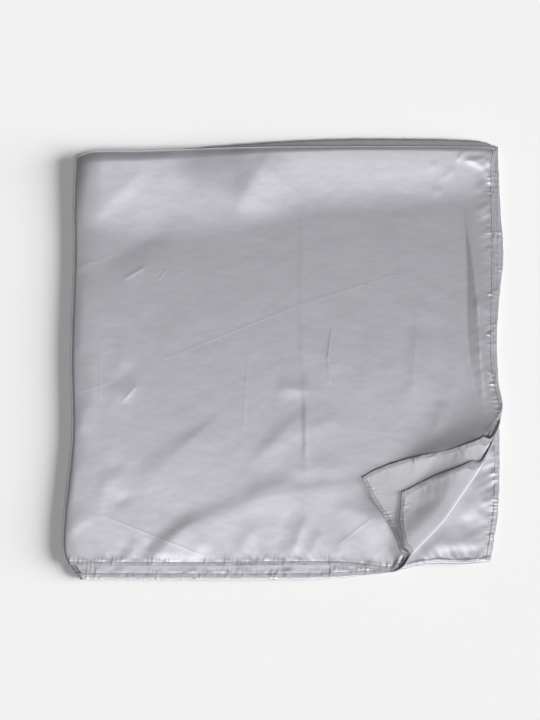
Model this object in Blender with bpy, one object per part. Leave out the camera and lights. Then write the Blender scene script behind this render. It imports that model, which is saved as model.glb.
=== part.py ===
"""Evening stole in satin, folded to a square and laid flat, one corner turned back.

Metres, +Z up. X runs to the right and Y away from the viewer, who looks straight down.
The origin is the middle of the underside. The stole is one panel with a narrow stitched
hem. It is folded once along its length (folds at +Y) and twice across it (the last fold
at -X), so eight layers lie on each other, with hems at +X and -Y. The two upper layers
are turned back together over the lower right corner.
"""

import math
from collections import namedtuple

import bmesh
import bpy
from mathutils import Vector

MM = 0.001

# Cloth and hem
WALL = 1.0 * MM
HEM_THICKNESS = 1.3 * MM
HEM_WIDTH = 4.2 * MM
SEAM_GAP = 0.45 * MM

# Stack, from the table upwards
INNER_HEIGHT = 6.2 * MM
PITCH = 1.6 * MM
SECOND_LEVEL = INNER_HEIGHT + 0.35 * MM + HEM_THICKNESS / 2
TOP_LEVEL = SECOND_LEVEL + PITCH

# Last fold, down the left side: the top layer runs round it almost to the table
LEFT_FOLD_RADIUS = 4.2 * MM
LEFT_FOLD_TURN = math.radians(140)
LEFT_FOLD_STEPS = 7
NEST_GAP = 1.3 * MM
LEFT_FOLD_AXIS = TOP_LEVEL - LEFT_FOLD_RADIUS

# First fold, along the top side: it joins the two upper layers in a narrow loop
LOOP_RADIUS = PITCH / 2
LOOP_STEPS = 4

# Turned-back corner: the line that the roll's outer side follows, and its size
ROLL_RIGHT_END = Vector((227.0 * MM, -68.7 * MM))
ROLL_LOW_END = Vector((130.9 * MM, -207.7 * MM))
ROLL_BELLY = 8.4 * MM
BELLY_RAMP = 70.0 * MM
ROLL_STEPS = 8
FLAP_SLOPE = 36.0 * MM
FLAP_STEPS = 5
FLAP_LENGTH = 72.0 * MM

# One layer as it turns: how far it lies below the top layer, half the width and half the
# height of its low oval roll, and how far its flap comes down behind the roll
Turned = namedtuple("Turned", "depth radius rise drop")
TOP_TURN = Turned(depth=0.0, radius=8.4 * MM, rise=3.4 * MM, drop=4.4 * MM)
SECOND_TURN = Turned(depth=PITCH, radius=10.8 * MM, rise=5.1 * MM, drop=4.5 * MM)

# Mesh
COARSE_COLUMNS = 17
FINE_COLUMNS = 6
FINE_FROM = 0.885
ROWS = 17
CORNER_ROWS = 5
CORNER_SHARE = 0.12
SECOND_STEPS = 18
SIDE_STEPS = 20

SATIN_COLOUR = (0.445, 0.430, 0.470, 1.0)
HEM_COLOUR = (0.480, 0.465, 0.505, 1.0)
INNER_COLOUR = (0.400, 0.386, 0.425, 1.0)
SATIN_ROUGHNESS = 0.38

# Outlines, in millimetres: "at" runs along the side, "edge" is how far out the side lies.
# Beyond the roll the right and lower sides are given as they lie before they are turned.
Row = namedtuple("Row", "at edge")

TOP_LAYER_LEFT = [
    Row(-231.2, -212.5),
    Row(-215.5, -224.5),
    Row(-205.6, -229.2),
    Row(-193.1, -230.8),
    Row(-159.6, -228.9),
    Row(-130.4, -225.6),
    Row(-80.2, -220.9),
    Row(7.6, -221.9),
    Row(107.9, -218.9),
    Row(158.1, -219.3),
    Row(210.3, -217.7),
]
TOP_LAYER_RIGHT = [
    Row(-234.0, 242.0),
    Row(-222.0, 246.5),
    Row(-203.0, 247.5),
    Row(-170.0, 244.5),
    Row(-122.0, 236.0),
    Row(-98.0, 231.5),
    Row(-55.1, 230.8),
    Row(-42.6, 229.1),
    Row(-11.2, 222.8),
    Row(20.1, 221.3),
    Row(114.2, 222.8),
    Row(203.0, 221.3),
    Row(219.7, 223.9),
]
TOP_LAYER_LOWER = [
    Row(-224.9, -215.5),
    Row(-86.5, -216.1),
    Row(59.8, -215.3),
    Row(94.3, -218.8),
    Row(112.1, -220.6),
    Row(135.0, -216.5),
    Row(165.0, -217.5),
    Row(190.0, -222.5),
    Row(215.0, -229.0),
    Row(242.0, -234.0),
]
TOP_LAYER_UPPER = [
    Row(-218.1, 210.3),
    Row(-197.2, 216.6),
    Row(-145.0, 217.6),
    Row(-44.7, 221.3),
    Row(80.7, 222.3),
    Row(206.1, 221.8),
    Row(223.9, 219.7),
]
SECOND_LAYER_RIGHT = [
    Row(-206.1, 221.7),
    Row(-165.0, 226.0),
    Row(-110.0, 226.0),
    Row(-52.0, 227.5),
    Row(-11.2, 225.0),
    Row(20.1, 224.0),
    Row(62.0, 226.0),
    Row(114.0, 226.8),
    Row(166.0, 226.0),
    Row(219.7, 224.9),
]
SECOND_LAYER_LOWER = [
    Row(-208.7, -227.6),
    Row(-86.5, -228.1),
    Row(38.9, -227.6),
    Row(87.0, -225.3),
    Row(118.3, -222.3),
    Row(150.0, -216.0),
    Row(190.0, -214.0),
    Row(221.7, -206.1),
]
INNER_RIGHT = [
    Row(-211.9, 217.6),
    Row(-193.1, 220.8),
    Row(-155.4, 226.0),
    Row(-80.0, 227.0),
    Row(-5.0, 223.4),
    Row(57.7, 226.5),
    Row(107.9, 231.2),
    Row(158.1, 228.1),
    Row(220.7, 225.5),
]
INNER_LOWER = [
    Row(-208.7, -230.7),
    Row(-86.5, -231.2),
    Row(38.9, -230.2),
    Row(87.0, -225.9),
    Row(118.3, -221.3),
    Row(153.9, -214.3),
    Row(190.5, -214.5),
    Row(217.6, -211.9),
]
INNER_UPPER = [
    Row(-218.1, 206.0),
    Row(-197.2, 212.0),
    Row(-145.0, 215.8),
    Row(-94.8, 221.3),
    Row(-44.7, 225.4),
    Row(5.5, 228.6),
    Row(55.6, 230.7),
    Row(118.3, 231.1),
    Row(206.1, 228.6),
    Row(226.5, 221.8),
]

# Hidden layers, lowest first: how far each one's hem lies inside the outermost one, in
# millimetres, and the same for the fold that joins each pair along the top side.
Layer = namedtuple("Layer", "right lower upper")
HIDDEN_LAYERS = [
    Layer(right=1.6, lower=2.2, upper=0.6),
    Layer(right=0.4, lower=0.9, upper=0.6),
    Layer(right=2.1, lower=0.0, upper=0.0),
    Layer(right=0.0, lower=1.5, upper=0.0),
    Layer(right=1.2, lower=0.4, upper=1.2),
    Layer(right=0.6, lower=0.2, upper=1.2),
]
GROOVE = 1.3 * MM
EDGE_ROUND = 0.35 * MM

# Broad swells of the two upper layers, in millimetres and degrees
Swell = namedtuple("Swell", "x y length width turn height")
SWELLS = [
    Swell(x=-60, y=132, length=190, width=38, turn=-6, height=2.6),
    Swell(x=150, y=150, length=90, width=34, turn=12, height=2.0),
    Swell(x=-150, y=-20, length=70, width=46, turn=80, height=1.6),
    Swell(x=20, y=10, length=150, width=40, turn=18, height=1.5),
    Swell(x=-120, y=-110, length=110, width=24, turn=38, height=2.4),
    Swell(x=-20, y=-140, length=90, width=24, turn=35, height=2.2),
    Swell(x=40, y=-85, length=90, width=26, turn=22, height=2.0),
    Swell(x=182, y=60, length=80, width=11, turn=92, height=2.6),
    Swell(x=212, y=20, length=110, width=8, turn=91, height=2.4),
    Swell(x=19, y=60, length=95, width=16, turn=90, height=1.1),
]
SWELL_CALM = 26 * MM
SWELL_LOST = 0.8  # share of each swell that the second layer doesn't follow


def eased(amount):
    amount = min(max(amount, 0.0), 1.0)
    return amount * amount * (3 - 2 * amount)


def read(table, at):
    """The side's place at this distance along it, on a smooth curve through the rows."""
    ats = [row.at * MM for row in table]
    edges = [row.edge * MM for row in table]
    at = min(max(at, ats[0]), ats[-1])
    last = len(table) - 2
    i = next((k for k in range(last) if at < ats[k + 1]), last)

    def slope(k):
        low = max(k - 1, 0)
        high = min(k + 1, len(table) - 1)
        return (edges[high] - edges[low]) / (ats[high] - ats[low])

    span = ats[i + 1] - ats[i]
    part = (at - ats[i]) / span
    return (
        edges[i] * (2 * part**3 - 3 * part**2 + 1)
        + slope(i) * span * (part**3 - 2 * part**2 + part)
        + edges[i + 1] * (3 * part**2 - 2 * part**3)
        + slope(i + 1) * span * (part**3 - part**2)
    )


# The fold line of the turned-back corner, seen from above
ROLL_LINE = ROLL_LOW_END - ROLL_RIGHT_END
ROLL_LENGTH = ROLL_LINE.length
ROLL_ALONG = ROLL_LINE.normalized()
ROLL_OUT = Vector((-ROLL_ALONG.y, ROLL_ALONG.x))


def roll_start(along):
    """How far from the fold line the cloth leaves the stack: the roll has a belly halfway."""
    near = eased((along + ROLL_BELLY) / BELLY_RAMP)
    far = eased((ROLL_LENGTH + ROLL_BELLY - along) / BELLY_RAMP)
    return ROLL_BELLY * near * far - SECOND_TURN.radius


def past_fold(x, y):
    """How far a flat point lies past the start of the roll, and where along the roll."""
    offset = Vector((x, y)) - ROLL_RIGHT_END
    along = offset.dot(ROLL_ALONG)
    return offset.dot(ROLL_OUT) - roll_start(along), along


def swell(x, y):
    """Height of the broad folds, which die out towards the sides and the turned corner."""
    total = 0.0
    for fold in SWELLS:
        turn = math.radians(fold.turn)
        dx = x - fold.x * MM
        dy = y - fold.y * MM
        along = (dx * math.cos(turn) + dy * math.sin(turn)) / (fold.length * MM)
        across = (dy * math.cos(turn) - dx * math.sin(turn)) / (fold.width * MM)
        total += fold.height * MM * math.exp(-(along**2) - across**2)
    past, _ = past_fold(x, y)
    inside = min(
        x - read(TOP_LAYER_LEFT, y),
        read(TOP_LAYER_UPPER, x) - y,
        y - read(TOP_LAYER_LOWER, x),
        (read(TOP_LAYER_RIGHT, y) - x) * 3,
        -past,
    )
    under_flap = eased((-past - FLAP_LENGTH) / SWELL_CALM)
    return total * eased(inside / SWELL_CALM) * under_flap


def laid(x, y, depth, turned):
    """Where a point of the flat cloth lies once folded; depth is below the top layer."""
    past, along = past_fold(x, y)
    left = read(TOP_LAYER_LEFT, y)
    inward = x - left - LEFT_FOLD_RADIUS
    if inward < 0:
        turn = -inward / LEFT_FOLD_RADIUS
        radius = LEFT_FOLD_RADIUS - depth
        out = left + LEFT_FOLD_RADIUS - radius * math.sin(turn)
        return Vector((out, y, LEFT_FOLD_AXIS + radius * math.cos(turn)))
    if past < 0:
        share = 1 - SWELL_LOST * min(max(depth / PITCH, 0.0), 1.0)
        return Vector((x, y, TOP_LEVEL - depth + share * swell(x, y)))
    turn = min(past / turned.radius, math.pi)
    beyond = past - turn * turned.radius
    deeper = depth - turned.depth
    out = roll_start(along) + (turned.radius + deeper) * math.sin(turn) - beyond
    axis = TOP_LEVEL - turned.depth + turned.rise
    height = axis - (turned.rise + deeper) * math.cos(turn)
    height -= turned.drop * eased(beyond / FLAP_SLOPE)
    flat = ROLL_RIGHT_END + ROLL_ALONG * along + ROLL_OUT * out
    return Vector((flat.x, flat.y, height))


def laid_with_loop(x, y, depth, turned):
    """The same for the top layer, whose upper side runs round the loop of the first fold."""
    start = read(TOP_LAYER_UPPER, x) - LOOP_RADIUS
    if y < start:
        return laid(x, y, depth, turned)
    turn = (y - start) / LOOP_RADIUS
    radius = LOOP_RADIUS - depth
    inner_depth = LOOP_RADIUS - radius * math.cos(turn)
    return laid(x, start + radius * math.sin(turn), inner_depth, turned)


def satin(name, colour):
    material = bpy.data.materials.new(name)
    material.use_nodes = True
    shader = material.node_tree.nodes["Principled BSDF"]
    shader.inputs["Base Color"].default_value = colour
    shader.inputs["Roughness"].default_value = SATIN_ROUGHNESS
    shader.inputs["Metallic"].default_value = 0.0
    shader.inputs["Sheen Weight"].default_value = 0.2
    material.diffuse_color = colour
    return material


def finish(bm, name, colour):
    """Makes the mesh an object with its own material, smooth but for its cut edges."""
    bmesh.ops.recalc_face_normals(bm, faces=bm.faces)
    mesh = bpy.data.meshes.new(name)
    bm.to_mesh(mesh)
    bm.free()
    mesh.shade_smooth()
    mesh.set_sharp_from_angle(angle=math.radians(50))
    mesh.materials.append(satin(name + "_satin", colour))
    obj = bpy.data.objects.new(name, mesh)
    bpy.context.scene.collection.objects.link(obj)
    return obj


# A piece of flat cloth is a patch between four sides. A column or row is a share of the
# way across, plus a distance in metres where the cloth runs on round a fold.
Stop = namedtuple("Stop", "share more")


def shares(steps, first=0.0, last=1.0):
    return [Stop(first + (last - first) * k / steps, 0.0) for k in range(steps + 1)]


def patch(sides, columns, rows):
    """Flat mesh of the patch, each point found where its column and row cross."""
    left, right, lower, upper = sides
    bm = bmesh.new()
    grid = []
    for row in rows:
        line = []
        for column in columns:
            x = 0.0
            y = 0.0
            for _ in range(4):
                y = lower(x) + (upper(x) - lower(x)) * row.share + row.more
                x = left(y) + (right(y) - left(y)) * column.share + column.more
            line.append(bm.verts.new((x, y, 0.0)))
        grid.append(line)
    for low, high in zip(grid, grid[1:]):
        for k in range(len(columns) - 1):
            bm.faces.new((low[k], low[k + 1], high[k + 1], high[k]))
    return bm


def cut_across_roll(bm, radius):
    """Adds edges along the roll, where the cloth bends, and down the flap behind it."""
    stops = [math.pi * radius * k / ROLL_STEPS for k in range(ROLL_STEPS + 1)]
    flap = [math.pi * radius + FLAP_SLOPE * k / FLAP_STEPS for k in range(1, FLAP_STEPS + 1)]
    straighten_roll(bm, -1)
    for stop in stops + flap:
        bmesh.ops.bisect_plane(
            bm,
            geom=bm.verts[:] + bm.edges[:] + bm.faces[:],
            dist=0.2 * MM,
            plane_co=(ROLL_RIGHT_END + ROLL_OUT * stop).to_3d(),
            plane_no=ROLL_OUT.to_3d(),
        )
    straighten_roll(bm, 1)


def straighten_roll(bm, way):
    """Moves the cloth across the roll until its belly is gone, or back again."""
    for vert in bm.verts:
        _, along = past_fold(vert.co.x, vert.co.y)
        vert.co += (ROLL_OUT * roll_start(along) * way).to_3d()


def fold_up(bm, thickness, turned, placed):
    """Gives the flat cloth its wall and lays every point where the fold takes it."""
    lower = bmesh.ops.extrude_face_region(bm, geom=bm.faces[:])["geom"]
    moved = [item for item in lower if isinstance(item, bmesh.types.BMVert)]
    for vert in bm.verts:
        vert.co.z = thickness / 2
    for vert in moved:
        vert.co.z = -thickness / 2
    for vert in bm.verts:
        vert.co = placed(vert.co.x, vert.co.y, turned.depth - vert.co.z, turned)


def side(table, inset=0.0):
    return lambda at: read(table, at) + inset


def panel_columns():
    curl = [
        Stop(0.0, -LEFT_FOLD_RADIUS * LEFT_FOLD_TURN * k / LEFT_FOLD_STEPS)
        for k in range(LEFT_FOLD_STEPS, 0, -1)
    ]
    fine = shares(FINE_COLUMNS, FINE_FROM, 1.0)[1:]
    return curl + shares(COARSE_COLUMNS, 0.0, FINE_FROM) + fine


def panel_rows():
    return shares(CORNER_ROWS, 0.0, CORNER_SHARE)[:-1] + shares(ROWS, CORNER_SHARE, 1.0)


def loop_rows():
    return [Stop(1.0, LOOP_RADIUS * math.pi * k / LOOP_STEPS) for k in range(1, LOOP_STEPS + 1)]


def make_top_layer():
    """Upper layer: down round the last fold at the left, and into the loop at the top."""
    hem = HEM_WIDTH + SEAM_GAP
    sides = (
        side(TOP_LAYER_LEFT, LEFT_FOLD_RADIUS),
        side(TOP_LAYER_RIGHT, -hem),
        side(TOP_LAYER_LOWER, hem),
        side(TOP_LAYER_UPPER, -LOOP_RADIUS),
    )
    bm = patch(sides, panel_columns(), panel_rows() + loop_rows())
    cut_across_roll(bm, TOP_TURN.radius)
    fold_up(bm, WALL, TOP_TURN, laid_with_loop)
    return finish(bm, "top_layer", SATIN_COLOUR)


def make_second_layer():
    """Layer below, held in the loop at the top and hidden inside the fold at the left."""
    hem = HEM_WIDTH + SEAM_GAP
    sides = (
        side(TOP_LAYER_LEFT, LEFT_FOLD_RADIUS + 2 * WALL),
        side(SECOND_LAYER_RIGHT, -hem),
        side(SECOND_LAYER_LOWER, hem),
        side(TOP_LAYER_UPPER, -LOOP_RADIUS - SEAM_GAP),
    )
    bm = patch(sides, shares(SECOND_STEPS), shares(SECOND_STEPS))
    cut_across_roll(bm, SECOND_TURN.radius)
    fold_up(bm, WALL, SECOND_TURN, laid)
    return finish(bm, "second_layer", SATIN_COLOUR)


def make_hem(name, sides, columns, rows, turned):
    """A hem: the panel's edge turned twice, so a thicker strip along its side."""
    bm = patch(sides, columns, rows)
    cut_across_roll(bm, turned.radius)
    fold_up(bm, HEM_THICKNESS, turned, laid)
    return finish(bm, name, HEM_COLOUR)


def make_hems():
    hem = HEM_WIDTH + SEAM_GAP
    kinds = (
        (
            "top",
            TOP_LAYER_RIGHT,
            TOP_LAYER_LOWER,
            side(TOP_LAYER_LEFT, LEFT_FOLD_RADIUS),
            panel_columns(),
            panel_rows(),
            TOP_TURN,
        ),
        (
            "second",
            SECOND_LAYER_RIGHT,
            SECOND_LAYER_LOWER,
            side(TOP_LAYER_LEFT, LEFT_FOLD_RADIUS + 2 * WALL),
            shares(SECOND_STEPS),
            shares(SECOND_STEPS),
            SECOND_TURN,
        ),
    )
    for name, right, lower, left, columns, rows, turned in kinds:
        right_sides = (
            side(right, -HEM_WIDTH),
            side(right),
            side(lower),
            side(TOP_LAYER_UPPER, -2 * LOOP_RADIUS - WALL),
        )
        make_hem(name + "_hem_right", right_sides, shares(1), rows, turned)
        lower_sides = (
            left,
            side(right, -hem),
            side(lower),
            side(lower, HEM_WIDTH),
        )
        make_hem(name + "_hem_lower", lower_sides, columns, shares(1), turned)


def inner_profile():
    """Rings of the hidden stack from the table up: height, and how far in each side is."""
    pitch = INNER_HEIGHT / len(HIDDEN_LAYERS)
    rings = []
    for number, layer in enumerate(HIDDEN_LAYERS):
        bottom = number * pitch
        # The lower half of each pair opens upwards into its fold, the upper half downwards.
        loop_low = GROOVE if number % 2 == 0 else 0.0
        loop_high = 0.0 if number % 2 == 0 else GROOVE
        edges = (layer.right * MM, layer.lower * MM)
        top_edge = layer.upper * MM
        rings.append((bottom, edges[0] + GROOVE, edges[1] + GROOVE, top_edge + loop_low))
        rings.append((bottom + EDGE_ROUND, *edges, top_edge + loop_low / 3))
        rings.append((bottom + pitch - EDGE_ROUND, *edges, top_edge + loop_high / 3))
    last = HIDDEN_LAYERS[-1]
    rings.append(
        (
            INNER_HEIGHT,
            last.right * MM + EDGE_ROUND,
            last.lower * MM + EDGE_ROUND,
            last.upper * MM + GROOVE,
        )
    )
    return rings


def left_inset(height):
    """The hidden folds at the left, nested inside the top layer's own fold."""
    radius = LEFT_FOLD_RADIUS - WALL / 2 - NEST_GAP
    rise = height - LEFT_FOLD_AXIS
    return LEFT_FOLD_RADIUS - math.sqrt(max(radius**2 - rise**2, 0.0))


def make_inner_layers():
    """Hidden layers as one solid, flat below, with every hem and fold at its edges."""
    bm = bmesh.new()
    rings = []
    for height, right_in, lower_in, upper_in in inner_profile():
        inset = left_inset(height)
        sides = (
            side(TOP_LAYER_LEFT, inset),
            side(INNER_RIGHT, -right_in),
            side(INNER_LOWER, lower_in),
            side(INNER_UPPER, -upper_in),
        )
        rings.append(ring(bm, sides, height))
    for low, high in zip(rings, rings[1:]):
        for k in range(len(low)):
            after = (k + 1) % len(low)
            bm.faces.new((low[k], low[after], high[after], high[k]))
    bm.faces.new(reversed(rings[0]))
    bm.faces.new(rings[-1])
    bmesh.ops.triangulate(bm, faces=[face for face in bm.faces if len(face.verts) > 4])
    return finish(bm, "inner_layers", INNER_COLOUR)


def ring(bm, sides, height):
    """One closed ring of points round the four sides, at this height."""
    left, right, lower, upper = sides
    spots = [(k / SIDE_STEPS, 0.0) for k in range(SIDE_STEPS)]
    spots += [(1.0, k / SIDE_STEPS) for k in range(SIDE_STEPS)]
    spots += [(1.0 - k / SIDE_STEPS, 1.0) for k in range(SIDE_STEPS)]
    spots += [(0.0, 1.0 - k / SIDE_STEPS) for k in range(SIDE_STEPS)]
    points = []
    for across, up in spots:
        x = 0.0
        y = 0.0
        for _ in range(4):
            y = lower(x) + (upper(x) - lower(x)) * up
            x = left(y) + (right(y) - left(y)) * across
        points.append(bm.verts.new((x, y, height)))
    return points


for old in list(bpy.data.objects):
    bpy.data.objects.remove(old)
make_inner_layers()
make_second_layer()
make_top_layer()
make_hems()
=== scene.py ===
"""Evening stole in satin, folded to a square and laid flat, one corner turned back.

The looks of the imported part, in its own frame: metres, +Z up, X to the right and Y away
from the viewer, who looks straight down. Each layer is made as flat cloth, with its folds
and wrinkles as heights on it, and then laid where the folding takes it.
"""

import math
from collections import namedtuple

import bpy
import numpy as np
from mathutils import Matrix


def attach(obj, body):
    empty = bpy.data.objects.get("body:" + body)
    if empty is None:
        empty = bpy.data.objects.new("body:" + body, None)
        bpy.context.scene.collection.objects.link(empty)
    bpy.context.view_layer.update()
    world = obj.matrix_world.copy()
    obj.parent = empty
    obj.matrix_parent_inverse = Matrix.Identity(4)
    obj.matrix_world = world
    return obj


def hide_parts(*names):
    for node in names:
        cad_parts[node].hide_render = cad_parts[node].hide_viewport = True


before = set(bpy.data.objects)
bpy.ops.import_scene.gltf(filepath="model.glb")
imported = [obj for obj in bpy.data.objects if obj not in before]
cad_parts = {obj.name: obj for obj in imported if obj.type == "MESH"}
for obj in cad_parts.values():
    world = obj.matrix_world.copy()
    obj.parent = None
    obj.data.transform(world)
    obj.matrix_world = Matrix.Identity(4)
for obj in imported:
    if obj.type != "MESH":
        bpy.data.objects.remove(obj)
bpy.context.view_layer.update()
MM = 0.001


# Satin
# One dove grey, faintly lilac satin throughout, with its hems and the stack's sides painted darker
# as painted shade: a broad soft gloss, fine threads that run along both ways of the cloth, and here and there a
# thicker thread.
class Wire:
    """An output socket of a material, so that shader maths is written as plain sums."""

    def __init__(self, socket):
        self.socket = socket
        self.tree = socket.id_data

    def add(self, kind, settings=None, inputs=None, output=0):
        """Adds a node of this kind and returns its output, as a Wire."""
        node = self.tree.nodes.new(kind)
        for name, value in (settings or {}).items():
            setattr(node, name, value)
        for name, value in (inputs or {}).items():
            if isinstance(value, Wire):
                self.tree.links.new(value.socket, node.inputs[name])
            else:
                node.inputs[name].default_value = value
        return Wire(node.outputs[output])

    def maths(self, operation, first, second):
        return self.add("ShaderNodeMath", {"operation": operation}, {0: first, 1: second})

    def __add__(self, other):
        return self.maths("ADD", self, other)

    def __sub__(self, other):
        return self.maths("SUBTRACT", self, other)

    def __rsub__(self, other):
        return self.maths("SUBTRACT", other, self)

    def __mul__(self, other):
        return self.maths("MULTIPLY", self, other)

    def __pow__(self, other):
        return self.maths("POWER", self, other)

    __radd__ = __add__
    __rmul__ = __mul__


CLOTH_SPAN = 0.5  # metres of flat cloth that the UV map's unit square covers
SATIN_ROUGHNESS = 0.38
SATIN_METALLIC = 0.65
PUCKER_REACH = 4.5 * 0.001
PUCKER_HEIGHT = 12.0
SATIN_IOR = 2.0
RELIEF_STEP = 0.06  # millimetres of relief that a height of 1 stands for


# A fine crease pressed into the cloth, straight, in millimetres: where it runs from and to,
# how wide it is, and how high it stands; it fades out at both ends
Crease = namedtuple("Crease", "start end width height")


def make_satin(name, colour, creases=(), metallic=SATIN_METALLIC, roughness=SATIN_ROUGHNESS):
    """Satin on the flat cloth's own UV map, with these fine creases in it."""
    material = bpy.data.materials.new(name)
    material.use_nodes = True
    material.diffuse_color = colour
    nodes = material.node_tree.nodes
    shader = nodes["Principled BSDF"]
    cut = Wire(nodes.new("ShaderNodeTexCoord").outputs["UV"])
    metres = cut.add(
        "ShaderNodeMapping",
        None,
        {"Vector": cut, "Location": (-CLOTH_SPAN / 2, -CLOTH_SPAN / 2, 0), "Scale": (CLOTH_SPAN, CLOTH_SPAN, 1)},
    )

    def threads(x_scale, y_scale, detail):
        stretched = cut.add("ShaderNodeMapping", None, {"Vector": metres, "Scale": (x_scale, y_scale, 1)})
        return cut.add("ShaderNodeTexNoise", None, {"Vector": stretched, "Scale": 1.0, "Detail": detail})

    across = threads(90, 1500, 2.0)
    upright = threads(1300, 70, 2.0)
    mottle = threads(22, 22, 3.0)
    slubs = threads(60, 420, 1.0)
    weave = across * 0.5 + upright * 0.5
    tone = mottle * 0.5 + slubs * 0.3 + weave * 0.2
    darker = tuple(value * 0.91 for value in colour[:3]) + (1.0,)
    lighter = tuple(min(value * 1.09, 1.0) for value in colour[:3]) + (1.0,)
    base = cut.add("ShaderNodeMix", {"data_type": "RGBA"}, {0: tone, 6: darker, 7: lighter}, 2)
    slack = threads(30, 38, 2.0)
    height = weave * 0.45 + slubs * 0.12 + slack * 4.2
    if creases:
        place = cut.add("ShaderNodeSeparateXYZ", None, {0: metres})
        x = place * 1000
        y = Wire(place.socket.node.outputs[1]) * 1000
    for crease in creases:
        (x0, y0), (x1, y1) = crease.start, crease.end
        length = math.hypot(x1 - x0, y1 - y0)
        ux = (x1 - x0) / length
        uy = (y1 - y0) / length
        gap = x * -uy + y * ux + (x0 * uy - y0 * ux)
        run = x * ux + y * uy - (x0 * ux + y0 * uy)
        fade = run.maths("MAXIMUM", run * (length - run) * (4 / length**2), 0.0) ** 0.5
        ridge = gap.maths("POWER", math.e, gap * gap * -(1 / crease.width**2))
        height = height + ridge * fade * (crease.height / RELIEF_STEP)
    patches = threads(48, 48, 0.0)
    strong = patches.maths("MAXIMUM", (patches - 0.36) * 4.0, 0.15)
    for seam, x_scale, y_scale in (("from_right_seam", 90, 290), ("from_near_seam", 290, 90)):
        distance = cut.add("ShaderNodeAttribute", {"attribute_name": seam}, None, 2)
        near = strong * distance.maths("POWER", math.e, distance * distance * -(1 / PUCKER_REACH**2))
        height = height + threads(x_scale, y_scale, 0.0) ** 3 * near * PUCKER_HEIGHT
    relief = cut.add("ShaderNodeBump", None, {"Height": height, "Distance": RELIEF_STEP * 0.001, "Strength": 1.0})
    links = material.node_tree.links
    links.new(base.socket, shader.inputs["Base Color"])
    links.new((roughness - 0.03 + tone * 0.06).socket, shader.inputs["Roughness"])
    links.new(relief.socket, shader.inputs["Normal"])
    shader.inputs["IOR"].default_value = SATIN_IOR
    shader.inputs["Metallic"].default_value = metallic
    shader.inputs["Specular IOR Level"].default_value = 0.9
    shader.inputs["Sheen Weight"].default_value = 0.12
    shader.inputs["Sheen Roughness"].default_value = 0.4
    return material


# Six inner layers
# The six lower layers of the satin, in pairs that meet in a rounded fold along the far side
# and end in narrow hems at the right and near sides. The uppermost of them, the third layer
# of the stole, shows where the corner is turned back.
INNER_HEIGHT = 6.2 * MM
LAYERS = 6
HEM_WIDTH = 4.2 * MM
LEFT_FOLD_RADIUS = 4.2 * MM
LEFT_FOLD_AXIS = 4.6 * MM
NEST_RADIUS = 2.4 * MM
EDGE_BULGE = 0.5 * MM
LOOP_BULGE = 1.3 * MM
BULGE_STEPS = 6
INSIDE_COLOUR = (0.625, 0.611, 0.664, 1.0)
# The stack's sides are the same satin as its faces; this much darker colour is painted shade on them.
SIDE_PAINTED_SHADE_COLOUR = (0.270, 0.262, 0.290, 1.0)

# Rows of a side: how far along it, and how far out it lies, in millimetres
LEFT_SIDE = [
    (-231.2, -212.5), (-215.5, -224.5), (-205.6, -229.2), (-193.1, -230.8), (-159.6, -228.9),
    (-130.4, -225.6), (-80.2, -220.9), (7.6, -221.9), (107.9, -218.9), (158.1, -219.3),
    (210.3, -217.7),
]
INNER_RIGHT_SIDE = [
    (-211.9, 217.6), (-193.1, 220.8), (-155.4, 226.0), (-80.0, 227.0), (-5.0, 223.4),
    (57.7, 226.5), (107.9, 231.2), (158.1, 228.1), (220.7, 225.5),
]
INNER_LOWER_SIDE = [
    (-208.7, -230.7), (-86.5, -231.2), (38.9, -230.2), (87.0, -225.9), (118.3, -221.3),
    (153.9, -214.3), (190.5, -214.5), (217.6, -211.9),
]
INNER_UPPER_SIDE = [
    (-218.1, 206.0), (-197.2, 212.0), (-145.0, 215.8), (-94.8, 221.3), (-44.7, 225.4),
    (5.5, 228.6), (55.6, 230.7), (118.3, 231.1), (206.1, 228.6), (226.5, 221.8),
]
# Each layer from the table up: how far in its right hem, near hem and far fold lie, in mm
INNER_STAGGER = [(1.6, 2.2, 0.6), (0.4, 0.9, 0.6), (2.1, 0, 0), (0, 1.5, 0), (1.2, 0.4, 1.2), (0.6, 0.2, 1.2)]

# A fold or wrinkle: its height in mm, and points along its crest, each with the width of
# its slope to the left of the crest and to the right of it
Fold = namedtuple("Fold", "height crest")
THIRD_FOLDS = [
    # Under the roll
    Fold(0.55, [
        (127, -216, 8.4, 10.4), (143, -210, 8.4, 12.5), (160, -197, 8.4, 14.6), (177, -178, 8.4, 12.5),
    ]),
    Fold(-0.32, [(189, -162, 8.4, 9.4), (194, -174, 9.4, 10.4), (200, -187, 8.4, 8.4)]),
    Fold(0.35, [
        (225, -183, 12.5, 12.5), (200, -192, 10.4, 10.4), (175, -195, 10.4, 10.4),
        (154, -204, 8.4, 8.4),
    ]),
    Fold(0.45, [(223, -135, 8.4, 8.4), (217, -145, 8.4, 8.4), (206, -155, 6.3, 6.3)]),
    Fold(0.45, [(212, -116, 10.4, 12.5), (202, -147, 10.4, 10.4), (187, -172, 8.4, 8.4)]),
    Fold(0.3, [(219, -168, 6.3, 6.3), (210, -164, 6.3, 6.3), (202, -168, 6.3, 6.3)]),
    Fold(-0.2, [
        (154, -202, 4.2, 4.2), (177, -201, 4.2, 4.2), (200, -201, 4.2, 4.2), (217, -197, 4.2, 4.2),
    ]),
    Fold(0.35, [(212, -84, 6.3, 8.4), (217, -105, 6.3, 8.4), (221, -126, 5.2, 6.3)]),
]


def eased(amount):
    amount = np.clip(amount, 0.0, 1.0)
    return amount * amount * (3 - 2 * amount)


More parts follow.
